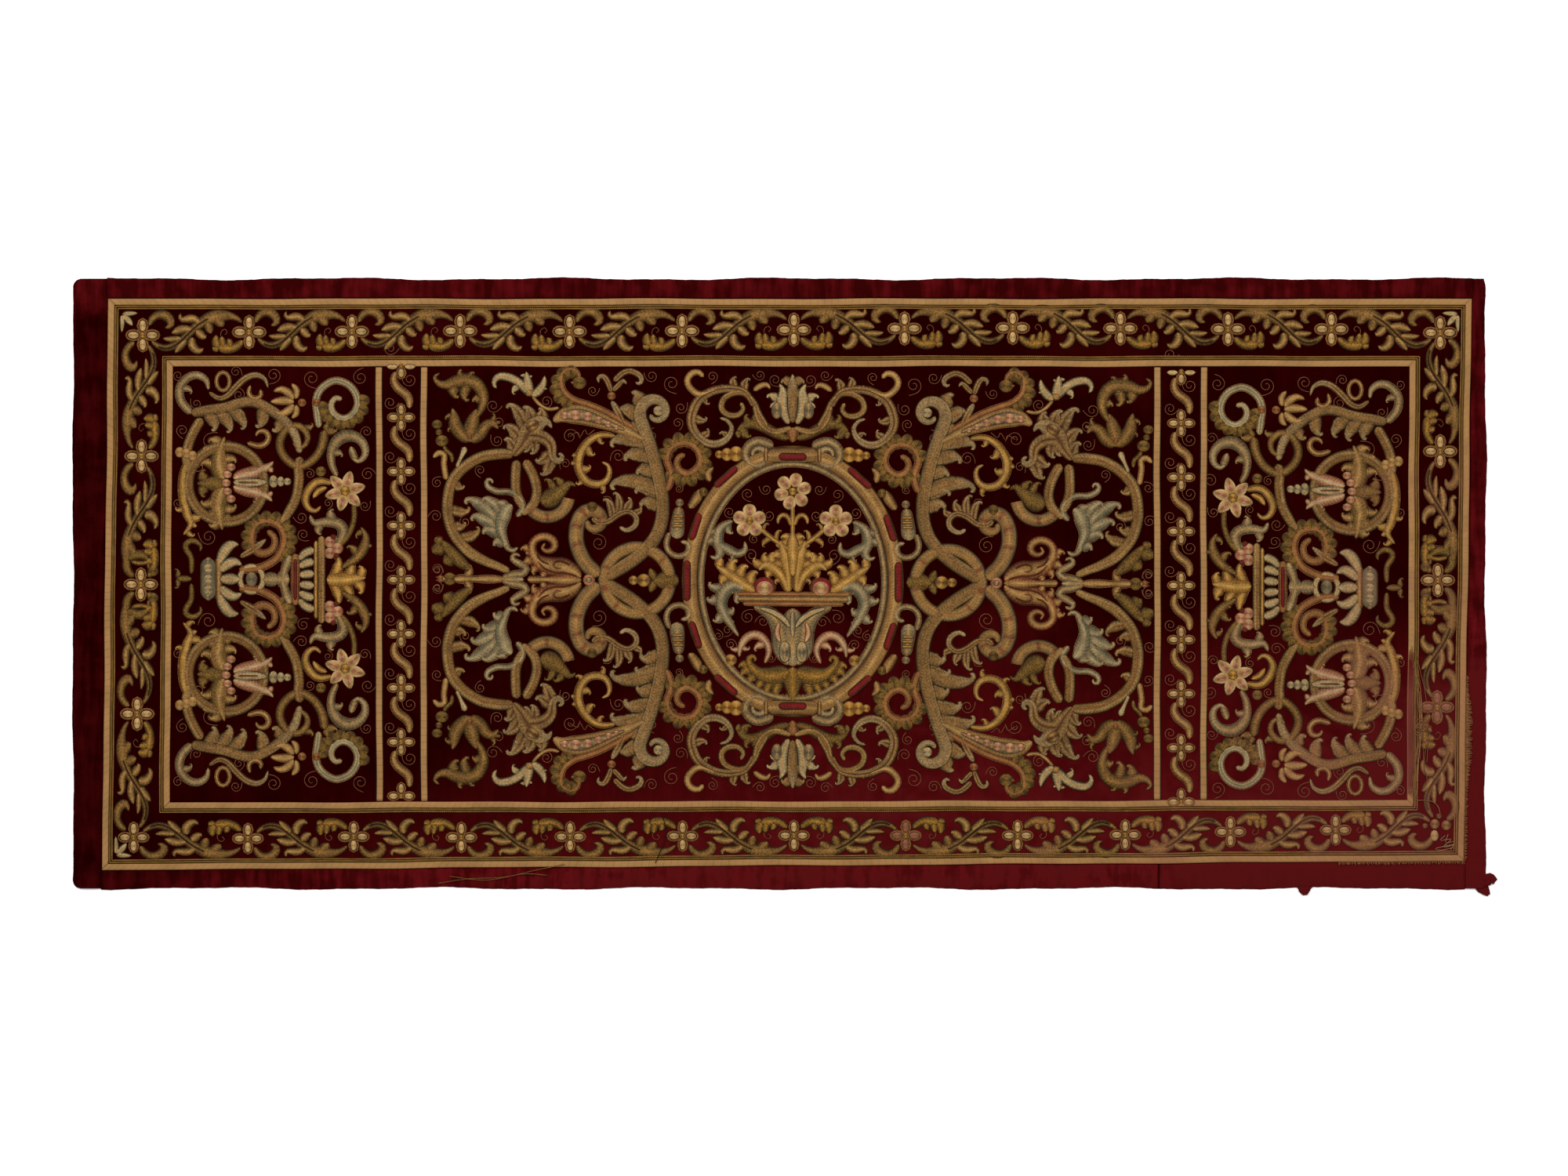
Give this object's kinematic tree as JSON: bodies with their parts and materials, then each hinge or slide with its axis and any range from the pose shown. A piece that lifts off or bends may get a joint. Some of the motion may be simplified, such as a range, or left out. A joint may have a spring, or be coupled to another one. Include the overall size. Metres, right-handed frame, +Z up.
{
  "type": "embroidered velvet cloth",
  "caption": "Long velvet table cover with silk braid frames, bars and scroll, flower and urn embroidery, laid flat face up.",
  "frame": {"origin": "centre of the cloth's box, on its underside", "axes": "+X along the cloth's length, +Y across it towards the upper border, +Z up through the embroidered face"},
  "size_m": [2.3424, 1.0202, 0.0043],
  "materials": {
    "velvet_field": "deep crimson silk velvet, worn",
    "velvet_border": "crimson silk velvet border, mottled pile",
    "tan_braid": "tan silk braid, ribbed",
    "dark_cord": "dark green-brown twisted cord",
    "fine_cord": "fine tan twisted cord",
    "olive_silk": "olive silk, laid stitches",
    "ivory_silk": "ivory silk, laid stitches",
    "gold_silk": "yellow gold silk, laid stitches",
    "orange_silk": "orange-tan silk, laid stitches",
    "grey_silk": "grey-green silk, laid stitches",
    "pink_silk": "faded pink silk, laid stitches",
    "tan_silk": "tan silk, laid stitches"
  },
  "bodies": {
    "root": {"velvet_panel": "velvet_field", "velvet_strip_top": "velvet_border", "velvet_strip_bottom": "velvet_border", "velvet_strip_left": "velvet_border", "velvet_strip_right": "velvet_border", "outer_band_top": "tan_braid", "outer_band_right": "tan_braid", "outer_band_bottom": "tan_braid", "outer_band_left": "tan_braid", "outer_dark_cord": "dark_cord", "outer_fine_cord": "fine_cord", "inner_fine_cord": "fine_cord", "inner_dark_cord": "dark_cord", "inner_band_top": "tan_braid", "inner_band_right": "tan_braid", "inner_band_bottom": "tan_braid", "inner_band_left": "tan_braid", "braid_bar_1": "tan_braid", "braid_bar_2": "tan_braid", "braid_bar_3": "tan_braid", "braid_bar_4": "tan_braid", "border_vine_top": "olive_silk", "border_vine_bottom": "olive_silk", "border_vine_left": "olive_silk", "border_vine_right": "olive_silk", "column_vine_left": "ivory_silk", "column_vine_right": "ivory_silk", "scrollwork_left": "tan_silk", "scrollwork_right": "tan_silk", "corner_tulip_tl": "olive_silk", "corner_tulip_tr": "olive_silk", "corner_tulip_bl": "olive_silk", "corner_tulip_br": "olive_silk", "acanthus_head_tl": "grey_silk", "acanthus_head_tr": "grey_silk", "acanthus_head_bl": "grey_silk", "acanthus_head_br": "grey_silk", "gold_scroll_tl": "gold_silk", "gold_scroll_tr": "gold_silk", "gold_scroll_bl": "gold_silk", "gold_scroll_br": "gold_silk", "wheel_scroll_tl": "orange_silk", "wheel_scroll_tr": "orange_silk", "wheel_scroll_bl": "orange_silk", "wheel_scroll_br": "orange_silk", "medallion_frame": "tan_silk", "medallion_urn": "gold_silk", "crest_top": "olive_silk", "crest_bottom": "olive_silk", "end_urn_left": "ivory_silk", "end_urn_right": "ivory_silk", "end_scroll_left_upper": "tan_silk", "end_scroll_left_lower": "tan_silk", "end_scroll_right_upper": "tan_silk", "end_scroll_right_lower": "tan_silk", "end_star_left_upper": "pink_silk", "end_star_left_lower": "pink_silk", "end_star_right_upper": "pink_silk", "end_star_right_lower": "pink_silk"}
  },
  "joints": []
}
